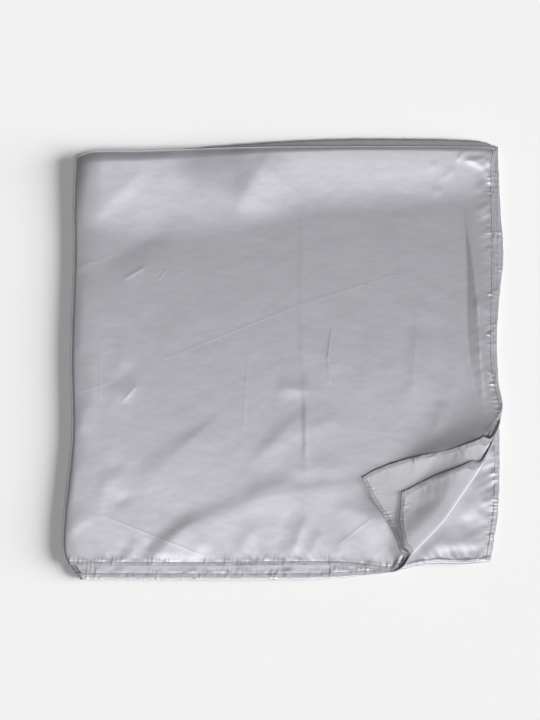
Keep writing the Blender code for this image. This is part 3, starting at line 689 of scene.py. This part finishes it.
# Top layer
# The panel that faces the viewer. It runs down round the last fold at the left, into the
# loop of the first fold at the far side, and back on itself at the near right corner. The
# far fold is puffed up, and a narrow trough runs down beside the right hem.
TOP_RIGHT_SIDE = [
    (-234.0, 242.0), (-222.0, 246.5), (-203.0, 247.5), (-170.0, 244.5), (-122.0, 236.0),
    (-98.0, 231.5), (-55.1, 230.8), (-42.6, 229.1), (-11.2, 222.8), (20.1, 221.3),
    (114.2, 222.8), (203.0, 221.3), (219.7, 223.9),
]
TOP_LOWER_SIDE = [
    (-224.9, -215.5), (-86.5, -216.1), (59.8, -215.3), (94.3, -218.8), (112.1, -220.6),
    (135.0, -216.5), (165.0, -217.5), (190.0, -222.5), (215.0, -229.0), (242.0, -234.0),
]
LEFT_FOLD_TURN = math.radians(140)
TOP_FOLDS = [
    # Crest of the puffed fold, left of the middle
    Fold(0.8, [
        (-5, 221, 27.2, 9.4), (-22, 200, 33.4, 10.4), (-36, 175, 33.4, 12.5), (-49, 148, 27.2, 16.7),
    ]),
    # Slack beside it at the far edge
    Fold(-2, [
        (-122, 217, 14.6, 16.7), (-86, 218, 14.6, 25.1), (-53, 219, 14.6, 27.2),
        (-30, 221, 10.4, 18.8),
    ]),
    # Far left corner
    Fold(0.3, [
        (-139, 205, 8.4, 12.5), (-162, 181, 10.4, 16.7), (-193, 154, 10.4, 16.7),
        (-212, 133, 10.4, 12.5),
    ]),
    # Small dents in the puffed fold
    Fold(0.16, [(180, 202, 3.1, 4.2), (174, 193, 3.1, 5.2), (164, 187, 3.1, 4.2)]),
    Fold(0.16, [(169, 177, 3.1, 4.2), (154, 173, 3.1, 5.2)]),
    Fold(0.14, [(152, 204, 3.1, 4.2), (162, 200, 3.1, 5.2)]),
    # Hollow below the puffed fold
    Fold(-0.5, [
        (-199, 93, 20.9, 10.4), (-168, 112, 23, 12.5), (-139, 127, 20.9, 12.5),
        (-109, 139, 16.7, 12.5),
    ]),
    # Faint wrinkles at the left
    Fold(0.1, [(-170, 79, 8.4, 6.3), (-151, 91, 8.4, 6.3), (-137, 102, 8.4, 6.3)]),
    Fold(0.1, [(-227, 92, 4.2, 4.2), (-210, 97, 4.2, 4.2), (-191, 105, 4.2, 4.2)]),
    # Soft ridge down the left side
    Fold(0.3, [
        (-204, 102, 31.3, 9.4), (-208, 62, 35.5, 9.4), (-210, 18, 31.3, 9.4), (-208, -13, 23, 9.4),
    ]),
    Fold(0.3, [(-204, 15, 10.4, 8.4), (-199, -16, 10.4, 10.4), (-195, -53, 10.4, 10.4)]),
    Fold(0.32, [(-193, -38, 12.5, 10.4), (-208, -55, 10.4, 10.4), (-212, -84, 10.4, 14.6)]),
    Fold(0.2, [(-162, 31, 8.4, 8.4), (-172, -22, 10.4, 8.4), (-183, -63, 10.4, 8.4)]),
    # Wrinkles at the left
    Fold(0.2, [(-172, -45, 8.4, 5.2), (-160, -34, 8.4, 5.2), (-149, -22, 7.3, 5.2)]),
    Fold(-0.2, [(-185, -28, 8.4, 8.4), (-170, -20, 8.4, 8.4), (-155, -7, 8.4, 8.4)]),
    # Crease down the middle
    Fold(0.12, [
        (20, 171, 12.5, 12.5), (18, 114, 12.5, 12.5), (19, 62, 12.5, 12.5), (18, 8, 12.5, 12.5),
        (17, -26, 12.5, 12.5),
    ]),
    Fold(0.4, [(-11, -33, 9.4, 8.4), (10, -31, 9.4, 8.4), (33, -32, 9.4, 8.4)]),
    # Wrinkles right of the middle
    Fold(0.12, [(51, 35, 8.4, 6.3), (49, 10, 8.4, 6.3), (49, -9, 8.4, 6.3), (46, -32, 8.4, 6.3)]),
    Fold(0.1, [(10, 10, 7.3, 7.3), (31, 7, 7.3, 7.3), (51, 1, 7.3, 7.3)]),
    Fold(0.12, [(137, 66, 8.4, 8.4), (152, 49, 8.4, 8.4), (166, 31, 8.4, 8.4)]),
    Fold(0.4, [
        (140, 41, 20.9, 6.3), (138, 10, 25.1, 6.3), (137, -22, 25.1, 7.3), (133, -55, 18.8, 8.4),
    ]),
    Fold(0.2, [(93, 31, 12.5, 16.7), (91, -11, 12.5, 18.8), (87, -53, 12.5, 16.7)]),
    # Upright folds beside the ridge
    Fold(0.16, [(177, 31, 8.4, 8.4), (177, -22, 8.4, 8.4), (171, -63, 8.4, 8.4)]),
    Fold(0.18, [(181, 62, 6.3, 6.3), (185, 10, 6.3, 5.2), (188, -43, 6.3, 5.2)]),
    # Pinches at the far right
    Fold(0.42, [(186, 207, 3.1, 3.1), (202, 208, 3.1, 3.1), (216, 209, 3.1, 3.1)]),
    Fold(0.4, [(194, 207, 3.1, 3.1), (206, 203, 3.1, 3.1), (213, 200, 3.1, 3.1)]),
    Fold(0.45, [(212, 198, 3.1, 3.1), (217, 208, 3.1, 3.1), (222, 220, 3.1, 3.1)]),
    Fold(0.4, [(211, 199, 3.1, 3.1), (216, 191, 3.1, 3.1), (220, 184, 3.1, 3.1)]),
    Fold(0.28, [(191, 220, 3.1, 3.1), (186, 212, 3.1, 3.1), (181, 205, 3.1, 3.1)]),
    Fold(-0.5, [(212, 187, 4.2, 4.2), (219, 179, 4.2, 4.2), (221, 171, 4.2, 4.2)]),
    Fold(0.5, [(204, 193, 8.4, 6.3), (210, 166, 8.4, 6.3), (213, 139, 8.4, 6.3)]),
    # Beside the right hem
    Fold(0.45, [(200, 66, 8.4, 6.3), (210, 54, 8.4, 6.3), (221, 43, 7.3, 5.2)]),
    Fold(-0.3, [(202, 39, 6.3, 6.3), (211, 33, 6.3, 6.3), (221, 26, 6.3, 6.3)]),
    Fold(0.35, [(206, 14, 6.3, 6.3), (214, 20, 6.3, 6.3), (223, 28, 6.3, 6.3)]),
    # Long crease towards the near left corner
    Fold(0.45, [
        (-164, -147, 16.7, 23), (-139, -124, 16.7, 33.4), (-112, -99, 12.5, 37.6),
        (-86, -76, 5.2, 33.4), (-61, -55, 3.1, 20.9),
    ]),
    # Near left corner
    Fold(0.22, [(-155, -95, 8.4, 8.4), (-172, -120, 8.4, 10.4), (-195, -147, 10.4, 12.5)]),
    Fold(-0.2, [(-160, -103, 10.4, 9.4), (-172, -112, 10.4, 9.4), (-185, -120, 8.4, 8.4)]),
    Fold(0.18, [(-181, -107, 6.3, 8.4), (-187, -137, 6.3, 8.4), (-193, -170, 6.3, 8.4)]),
    Fold(-0.2, [(-178, -155, 6.3, 6.3), (-168, -147, 6.3, 6.3), (-155, -141, 6.3, 6.3)]),
    Fold(0.3, [(-193, -162, 6.3, 16.7), (-212, -170, 6.3, 16.7), (-229, -185, 6.3, 10.4)]),
    Fold(0.3, [(-218, -97, 6.3, 10.4), (-220, -130, 6.3, 12.5), (-224, -160, 6.3, 12.5)]),
    # Long fold above the near hem
    Fold(0.38, [
        (-147, -210, 6.3, 12.5), (-130, -194, 6.3, 16.7), (-101, -176, 8.4, 20.9),
        (-59, -159, 10.4, 23), (-15, -145, 10.4, 20.9),
    ]),
    Fold(0.38, [
        (-72, -162, 10.4, 18.8), (-15, -144, 10.4, 20.9), (28, -137, 8.4, 18.8), (72, -130, 6.3, 14.6),
        (87, -126, 5.2, 8.4),
    ]),
    Fold(0.8, [
        (-143, -220, 9.4, 31.3), (-126, -199, 9.4, 35.5), (-105, -179, 9.4, 35.5),
        (-76, -160, 9.4, 29.3),
    ]),
    Fold(0.35, [
        (-45, -151, 9.4, 12.5), (-22, -137, 9.4, 12.5), (3, -130, 8.4, 10.4), (22, -126, 8.4, 10.4),
    ]),
    Fold(0.42, [
        (-34, -112, 8.4, 12.5), (-15, -93, 8.4, 16.7), (10, -68, 8.4, 16.7), (37, -53, 8.4, 12.5),
    ]),
    Fold(0.2, [(3, -84, 9.4, 12.5), (31, -72, 9.4, 12.5), (70, -56, 9.4, 12.5)]),
    Fold(0.3, [(77, -116, 12.5, 12.5), (37, -114, 12.5, 14.6), (-7, -120, 10.4, 12.5)]),
    # Streaks above the near hem
    Fold(0.5, [(26, -160, 6.3, 7.3), (18, -181, 5.2, 7.3), (10, -210, 4.2, 6.3)]),
    Fold(0.24, [(41, -176, 5.2, 6.3), (33, -194, 5.2, 6.3), (26, -212, 5.2, 5.2)]),
    Fold(0.24, [(70, -181, 6.3, 6.3), (60, -197, 6.3, 6.3), (51, -212, 5.2, 5.2)]),
    Fold(-0.2, [(8, -155, 8.4, 6.3), (1, -178, 8.4, 6.3), (-5, -206, 6.3, 5.2)]),
    Fold(0.26, [(-22, -170, 8.4, 8.4), (-38, -189, 8.4, 8.4), (-49, -210, 6.3, 6.3)]),
    Fold(0.22, [(-76, -185, 8.4, 8.4), (-91, -201, 6.3, 8.4), (-99, -216, 5.2, 5.2)]),
    Fold(-0.3, [(-137, -187, 6.3, 6.3), (-142, -199, 6.3, 6.3), (-145, -212, 5.2, 5.2)]),
    Fold(-0.24, [(-166, -189, 5.2, 5.2), (-169, -201, 5.2, 5.2), (-171, -212, 4.2, 4.2)]),
    Fold(0.22, [(-153, -185, 5.2, 5.2), (-156, -199, 5.2, 5.2), (-160, -212, 4.2, 4.2)]),
    Fold(0.26, [(49, -155, 10.4, 12.5), (81, -160, 10.4, 12.5), (110, -170, 8.4, 8.4)]),
    # Rise towards the turned-back corner
    Fold(2.6, [
        (106, -128, 10.4, 10.4), (150, -106, 16.7, 12.5), (189, -92, 26.1, 14.6),
        (227, -74, 34.5, 14.6), (290, -45, 37.6, 16.7),
    ]),
    Fold(2.4, [
        (89, -130, 14.6, 16.7), (108, -170, 14.6, 17.8), (127, -206, 14.6, 15.7),
        (146, -252, 14.6, 14.6),
    ]),
    Fold(1.6, [
        (114, -120, 5.2, 7.3), (154, -101, 8.4, 8.4), (191, -88, 12.5, 8.4), (258, -61, 16.7, 8.4),
    ]),
    Fold(1.3, [
        (112, -185, 10.4, 8.4), (125, -206, 10.4, 10.4), (135, -227, 10.4, 12.5),
        (150, -258, 10.4, 12.5),
    ]),
    # By the turned corner
    Fold(-0.3, [(210, -28, 3.1, 3.1), (212, -53, 3.1, 3.1), (214, -74, 3.1, 3.1)]),
    Fold(0.3, [(171, -40, 8.4, 8.4), (164, -63, 8.4, 8.4), (154, -84, 6.3, 6.3)]),
]
TOP_FLAP_FOLDS = [
    # Raised edge
    Fold(2.4, [
        (87, -120, 12.5, 14.6), (133, -103, 12.5, 14.6), (175, -91, 12.5, 14.6),
        (227, -72, 12.5, 14.6), (279, -52, 12.5, 14.6),
    ]),
    Fold(0.25, [(160, -102, 5.2, 6.3), (141, -114, 5.2, 6.3), (129, -126, 5.2, 6.3)]),
    Fold(-0.25, [(196, -91, 6.3, 6.3), (164, -101, 6.3, 6.3), (139, -109, 6.3, 6.3)]),
    Fold(0.2, [(100, -124, 5.2, 5.2), (114, -130, 5.2, 5.2), (120, -141, 5.2, 5.2)]),
    Fold(0.25, [(217, -72, 5.2, 8.4), (196, -84, 5.2, 8.4), (171, -92, 5.2, 8.4)]),
    Fold(0.17, [(110, -145, 4.2, 4.2), (118, -141, 4.2, 4.2), (125, -139, 4.2, 4.2)]),
    Fold(0.17, [(123, -168, 4.2, 4.2), (127, -160, 4.2, 4.2), (127, -149, 4.2, 4.2)]),
]

# The puff of the first fold along the far side, in millimetres: how high it stands at its
# far edge, how far it slopes down towards the viewer, and how wide its rounded edge is
PUFF = [
    (-232, 5.4, 80, 14), (-190, 6.8, 90, 13), (-150, 6.8, 96, 12), (-95, 6.6, 98, 11),
    (-45, 6.2, 92, 9), (0, 5.9, 78, 7), (60, 5.4, 70, 5), (130, 5.2, 66, 5),
    (195, 4.3, 58, 6), (232, 2.6, 44, 7),
]
LEFT_RIDGE = 1.3 * MM
LEFT_ROUNDING = 9.0 * MM

top_right = side_line(TOP_RIGHT_SIDE)
top_lower = side_line(TOP_LOWER_SIDE)


def puff(x, upper_in):
    """Height of the puffed far fold: a round edge, then an even slope that flattens out."""
    at, height, reach, rounding = np.array(PUFF, float).T * MM
    share = np.clip(upper_in / np.interp(x, at, reach), 0, 1)
    inside = np.clip((upper_in + LOOP_RADIUS) / np.interp(x, at, rounding), 0, 1)
    edge = np.sqrt(1 - (1 - inside) ** 2)
    return np.interp(x, at, height) * edge * (1 - share) ** 2 * (1 + share)


# Low pleats, in millimetres: how far up, where the steep side starts and ends, and how high
# its edge stands. One is the old fold line down the middle, one lies beside the right hem.
MIDDLE_PLEAT = [
    (-210, 18.0, 23.3, 0.05), (-147, 18.0, 23.3, 0.06), (-112, 19.1, 24.3, 0.12),
    (-89, 19.6, 24.3, 0.5), (-55, 19.1, 24.3, 0.55), (-28, 18.0, 23.3, 0.3),
    (-13, 17.0, 22.2, 0.08), (10, 15.9, 21.2, 0.16), (24, 15.9, 21.2, 0.2), (39, 15.4, 21.2, 0.06),
    (83, 15.4, 21.2, 0.1), (135, 15.9, 21.2, 0.12), (161, 15.9, 21.2, 0),
]
RIGHT_PLEAT = [
    (-69, 210.3, 213.4, 0.1), (-48, 206.1, 211.4, 0.6), (-27, 200.9, 209.3, 1.1),
    (-6, 195.7, 207.2, 1.7), (20, 193.1, 205.6, 2.0), (51, 192.5, 204.0, 1.9),
    (72, 192.5, 201.9, 1.7), (93, 192.3, 199.9, 1.4), (114, 191.8, 196.7, 1.0),
    (135, 190.5, 193.1, 0.45), (156, 187.3, 188.9, 0),
]
PLEAT_BACK = 8.0 * MM


def pleat(rows, x, y):
    """Height of a pleat: a flat steep side with a crisp foot and edge, then a soft back."""
    at, foot, crest, height = np.array(rows, float).T * MM
    foot = np.interp(y, at, foot)
    crest = np.interp(y, at, crest)
    climb = np.clip((x - foot) / (crest - foot), 0, 1)
    back = np.exp(-((np.maximum(x - crest, 0) / PLEAT_BACK) ** 1.5))
    return np.interp(y, at, height) * climb * back


def top_lift(x, y):
    """Relief of the top layer: folds and wrinkles, then the puckers along its hems."""
    past, _ = past_fold(x, y)
    right_in = top_right(y) - x
    lower_in = y - top_lower(x)
    upper_in = upper_side(x) - y
    left_in = np.maximum(x - left_side(y), 0)
    lift = fold_heights(TOP_FOLDS, x, y)
    for rows in (MIDDLE_PLEAT, RIGHT_PLEAT):
        lift += pleat(rows, x, y)
    lift *= eased(left_in / (10 * MM))
    ridge = LEFT_RIDGE * np.exp(-((left_in / (60 * MM)) ** 2))
    by_hem = 1 - eased(np.minimum(right_in / (9 * MM), lower_in / (14 * MM)))
    lift *= 1 - 0.75 * by_hem * eased((-past - 14 * MM) / (40 * MM))
    lift += (puff(x, upper_in) + ridge) * (1 - np.exp(-left_in / LEFT_ROUNDING))
    lift *= eased((16 * MM - past) / (10 * MM))
    lift += hem_puckers(y, right_in, 0.4) + hem_puckers(x, lower_in, 2.9)
    return lift + flap_lift(TOP_FLAP_FOLDS, x, y, TOP_TURN)


curl_steps = np.linspace(-LEFT_FOLD_RADIUS * LEFT_FOLD_TURN, 0, 11)[:-1]
loop_steps = np.linspace(0, LOOP_RADIUS * math.pi, 7)[1:]
top_layer = make_sheet(
    "top_layer_cloth",
    (
        moved(left_side, LEFT_FOLD_RADIUS),
        moved(top_right, HEM_LAP - HEM_WIDTH),
        moved(top_lower, HEM_WIDTH - HEM_LAP),
        moved(upper_side, -LOOP_RADIUS),
    ),
    np.concatenate(
        [
            np.stack([np.zeros_like(curl_steps), curl_steps], 1),
            with_none(stops((0, 1.3), (12, 2.7), (228, 1.3), (254, 2.7), (372, 1.4), (445, 0))),
        ]
    ),
    np.concatenate(
        [
            with_none(stops((0, 1.1), (8, 2.0), (200, 2.4), (420, 1.4), (435, 0))),
            np.stack([np.ones_like(loop_steps), loop_steps], 1),
        ]
    ),
    TOP_TURN,
    top_lift,
    (satin, satin_back),
)
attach(top_layer, "root")
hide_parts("top_layer")


# Hems
# The cut edge of each layer is turned under twice and stitched, so it is a narrow, thicker
# strip of the same satin, painted darker than the cloth as painted shade. Light catches its rounded edge.
# Darker than the satin itself: painted shade on the hems and their rounded outer edges.
HEM_PAINTED_SHADE_COLOUR = (0.430, 0.419, 0.458, 1.0)
HEM_THICKNESS = 1.1 * MM
HEM_STEP = 1.3 * MM
HEM_PROFILE_POINTS = 14
STITCH_INSIDE_HEM = 0.55 * MM


def hem_profile():
    """Points round a hem's section: how far in from the edge, and how far up."""
    angles = np.linspace(0, 2 * math.pi, HEM_PROFILE_POINTS, endpoint=False)
    inward = HEM_WIDTH / 2 * (1 - np.sign(np.cos(angles)) * np.abs(np.cos(angles)) ** 0.28)
    upward = HEM_THICKNESS / 2 * np.sign(np.sin(angles)) * np.abs(np.sin(angles)) ** 0.28
    return inward, upward


def hem_line(side, begin, end, step):
    """Places along a side, about this far apart."""
    return np.linspace(begin, end, max(round(abs(end - begin) / step), 2))


def make_hem(name, side, upright, begin, end, layer, lift, material):
    """A hem swept along the right side, or along the near side where upright is false."""
    place = hem_line(side, begin, end, HEM_STEP)[:, None]
    inward, upward = hem_profile()
    edge = side(place) + 0.12 * MM * ripple(place, 3.3)
    swell = 1 + 0.16 * ripple(place * 1.6, 1.9)
    if upright:
        x = edge - inward[None, :]
        y = place + 0 * inward[None, :]
    else:
        x = place + 0 * inward[None, :]
        y = edge + inward[None, :]
    up = upward[None, :] * swell
    points = laid(x, y, layer.depth - lift(x, y) - up, layer)
    count = HEM_PROFILE_POINTS
    around = np.arange(count)
    faces = []
    for station in range(len(place) - 1):
        low = station * count + around
        after = station * count + (around + 1) % count
        faces += np.stack([low, after, after + count, low + count], 1).tolist()
    faces.append(list(range(count)))
    faces.append([(len(place) - 1) * count + k for k in range(count)][::-1])
    cut = np.stack([x.ravel(), y.ravel()], 1)
    inside = (HEM_WIDTH - STITCH_INSIDE_HEM - inward)[None, :] + 0 * place
    seams = {"from_right_seam" if upright else "from_near_seam": inside}
    piece = make_piece(name, points, faces, cut, material, seams)
    turn_faces_out(piece)
    return piece


# The hems' satin, its colour painted darker than the cloth's as painted shade.
hem_painted_shade_satin = make_satin("hem_painted_shade_satin", HEM_PAINTED_SHADE_COLOUR, (), metallic=0.4, roughness=0.5)
top_corner = top_lower(np.array([0.247]))[0]
second_corner = second_lower(np.array([0.2222]))[0]
for name, side, upright, begin, end, layer, lift in (
    ("top_hem_right", top_right, True, top_corner + 0.6 * MM, 0.2185, TOP_TURN, top_lift),
    ("top_hem_lower", top_lower, False, -0.2245, 0.2425, TOP_TURN, top_lift),
    ("second_hem_right", second_right, True, second_corner + 0.6 * MM, 0.2185, SECOND_TURN, second_lift),
    ("second_hem_lower", second_lower, False, -0.2190, 0.2222, SECOND_TURN, second_lift),
):
    hem = make_hem(name + "_strip", side, upright, begin, end, layer, lift, hem_painted_shade_satin)
    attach(hem, "root")
    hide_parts(name)


# Stitches
# Each hem is held by one row of lockstitch in matching thread, about 2.5 mm long, just
# outside the hem's inner fold. Both sides of the cloth show it.
THREAD_COLOUR = (0.50, 0.49, 0.53, 1.0)
STITCH_PITCH = 2.5 * MM
STITCH_LENGTH = 1.9 * MM
STITCH_RADIUS = 0.24 * MM

thread = bpy.data.materials.new("thread")
thread.use_nodes = True
thread_shader = thread.node_tree.nodes["Principled BSDF"]
thread_place = Wire(thread.node_tree.nodes.new("ShaderNodeTexCoord").outputs["Object"])
twist = thread_place.add("ShaderNodeTexNoise", None, {"Vector": thread_place, "Scale": 2500.0, "Detail": 1.0})
thread_tone = thread_place.add(
    "ShaderNodeMix",
    {"data_type": "RGBA"},
    {0: twist, 6: tuple(0.82 * value for value in THREAD_COLOUR[:3]) + (1.0,), 7: THREAD_COLOUR},
    2,
)
thread.node_tree.links.new(thread_tone.socket, thread_shader.inputs["Base Color"])
thread.node_tree.links.new((0.42 + twist * 0.12).socket, thread_shader.inputs["Roughness"])
thread.diffuse_color = THREAD_COLOUR

bpy.ops.object.select_all(action="DESELECT")
bpy.ops.mesh.primitive_uv_sphere_add(segments=6, ring_count=4, radius=1)
stitch_pattern = bpy.context.active_object
stitch_shape = np.array([vert.co for vert in stitch_pattern.data.vertices])
stitch_faces = [list(face.vertices) for face in stitch_pattern.data.polygons]
bpy.data.objects.remove(stitch_pattern)


def stitch_points(side, upright, begin, end, layer, lift, under):
    """Points of a row of stitches, on the upper face of the hem or on its underside."""
    place = hem_line(side, begin, end, STITCH_PITCH)[:, None]
    long_way = STITCH_LENGTH / 2 * stitch_shape[:, 2][None, :]
    wide_way = STITCH_RADIUS * stitch_shape[:, 0][None, :]
    height = HEM_THICKNESS / 2 + STITCH_RADIUS * (0.1 + 0.9 * stitch_shape[:, 1][None, :])
    inward = HEM_WIDTH - STITCH_INSIDE_HEM + wide_way + 0.10 * MM * ripple(place, 0.7)
    along = place + long_way
    if upright:
        x = side(along) - inward
        y = along + 0 * inward
    else:
        x = along + 0 * inward
        y = side(along) + inward
    up = -height if under else height
    return laid(x, y, layer.depth - lift(x, y) - up, layer)


def make_stitches(name, rows, with_third=()):
    """All stitches of one layer as one piece."""
    points = np.concatenate([stitch_points(*row) for row in rows] + list(with_third))
    count = len(stitch_shape)
    faces = [[k * count + corner for corner in face] for k in range(len(points) // count) for face in stitch_faces]
    piece = make_piece(name, points, faces, points[:, :2], thread, {})
    turn_faces_out(piece)
    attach(piece, "root")
    return piece


top_stitches = make_stitches(
    "top_layer_stitches",
    [
        (top_right, True, -0.066, 0.217, TOP_TURN, top_lift, False),
        (top_lower, False, -0.2235, 0.118, TOP_TURN, top_lift, False),
        (top_right, True, top_corner + 3 * MM, -0.070, TOP_TURN, top_lift, True),
        (top_lower, False, 0.138, 0.2385, TOP_TURN, top_lift, True),
    ],
)
second_stitches = make_stitches(
    "second_layer_stitches",
    [
        (second_lower, False, -0.217, 0.120, SECOND_TURN, second_lift, False),
        (second_right, True, second_corner + 3 * MM, -0.075, SECOND_TURN, second_lift, True),
        (second_lower, False, 0.140, 0.2190, SECOND_TURN, second_lift, True),
    ],
)


def third_stitch_points(side, upright, begin, end):
    """Stitches on the third layer, where the turned-back corner leaves it bare."""
    place = hem_line(side, begin, end, STITCH_PITCH)[:, None]
    along = place + STITCH_LENGTH / 2 * stitch_shape[:, 2][None, :]
    inward = HEM_WIDTH + STITCH_RADIUS * stitch_shape[:, 0][None, :] + 0 * place
    up = STITCH_RADIUS * (0.1 + 0.9 * stitch_shape[:, 1][None, :]) + 0 * place
    x = side(along) - inward if upright else along + 0 * inward
    y = along + 0 * inward if upright else side(along) + inward
    return np.stack([x.ravel(), y.ravel(), (INNER_HEIGHT + third_lift(x, y) + up).ravel()], 1)


third_stitches = make_stitches(
    "third_layer_stitches",
    [],
    [
        third_stitch_points(moved(inner_right, -0.6 * MM), True, -0.209, -0.090),
        third_stitch_points(moved(inner_lower, 0.2 * MM), False, 0.140, 0.216),
    ],
)


# Floor and light
# A plain pale floor. A broad soft light low at the right casts the long soft shadow at the
# left, and adds no glare; one high in front makes the satin glow; an even surround fills.
bpy.ops.object.select_all(action="DESELECT")
bpy.ops.mesh.primitive_plane_add(size=6, location=(0, 0, -0.0001))
floor = bpy.context.active_object
floor.name = "floor"
floor_paint = bpy.data.materials.new("floor_paint")
floor_paint.use_nodes = True
floor_shader = floor_paint.node_tree.nodes["Principled BSDF"]
floor_shader.inputs["Base Color"].default_value = (0.86, 0.86, 0.86, 1)
floor_shader.inputs["Roughness"].default_value = 0.95
floor_shader.inputs["Specular IOR Level"].default_value = 0.0
floor.data.materials.append(floor_paint)

# Each light: name, strength, how wide it is, how high it stands, and how far round from +X
# towards the viewer, in degrees
for name, strength, wide, high, round_front in (
    ("side_light", 8.5, 35, 15, 4),
    ("front_light", 0.80, 26, 66, 85),
):
    bpy.ops.object.light_add(type="SUN")
    lamp = bpy.context.active_object
    lamp.name = name
    lamp.data.energy = strength
    lamp.visible_glossy = name == "front_light"
    lamp.data.angle = math.radians(wide)
    lamp.rotation_euler = (0, math.radians(90 - high), math.radians(-round_front))

world = bpy.data.worlds.new("surround")
bpy.context.scene.world = world
world.use_nodes = True
world.node_tree.nodes["Background"].inputs["Color"].default_value = (1.0, 1.0, 1.0, 1)
world.node_tree.nodes["Background"].inputs["Strength"].default_value = 0.10
bpy.context.scene.view_settings.view_transform = "Standard"


# Camera
# Straight above, at the photograph's distance and framing.
CAMERA_HEIGHT = 2.099
bpy.ops.object.camera_add(location=(-0.0133, -0.0008, CAMERA_HEIGHT), rotation=(0, 0, 0))
camera = bpy.context.active_object
camera.name = "camera"
camera.data.lens = 100
camera.data.sensor_width = 36
bpy.context.scene.camera = camera
